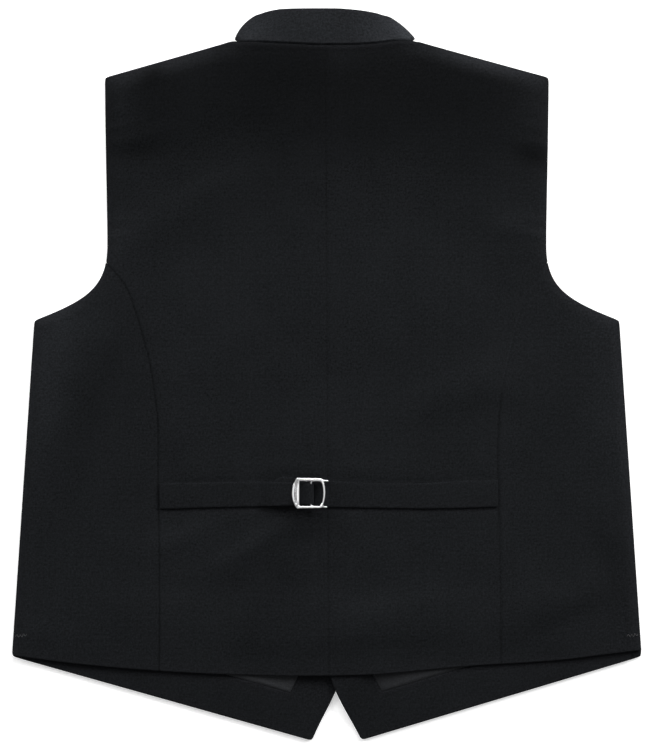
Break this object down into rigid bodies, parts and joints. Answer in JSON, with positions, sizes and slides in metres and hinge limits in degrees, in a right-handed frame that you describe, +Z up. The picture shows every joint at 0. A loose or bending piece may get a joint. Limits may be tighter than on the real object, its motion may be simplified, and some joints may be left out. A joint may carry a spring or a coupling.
{
  "type": "clergy vest",
  "caption": "Black clergy vest laid face down, with a band collar, pointed front hems and a buckled cinch belt across the back.",
  "frame": {"origin": "centre of the garment's outline, on the surface it lies on", "axes": "+Z up from the surface through the back of the vest, +Y towards the neck, -X towards the wearer's left"},
  "size_m": [0.578, 0.672, 0.016],
  "materials": {
    "wool": "matte black wool suiting",
    "lining": "black twill lining with a low sheen",
    "webbing": "black belt cloth, pressed flat",
    "buckle": "polished silver-coloured metal"
  },
  "bodies": {
    "root": {"front_left": "wool", "front_right": "wool", "facing_left": "wool", "facing_right": "wool", "lining_left": "lining", "lining_right": "lining", "back_center_left": "wool", "back_center_right": "wool", "back_side_left": "wool", "back_side_right": "wool", "collar": "wool", "strap_left": "webbing", "strap_right": "webbing", "buckle_frame": "buckle", "buckle_prongs": "buckle"}
  },
  "joints": []
}
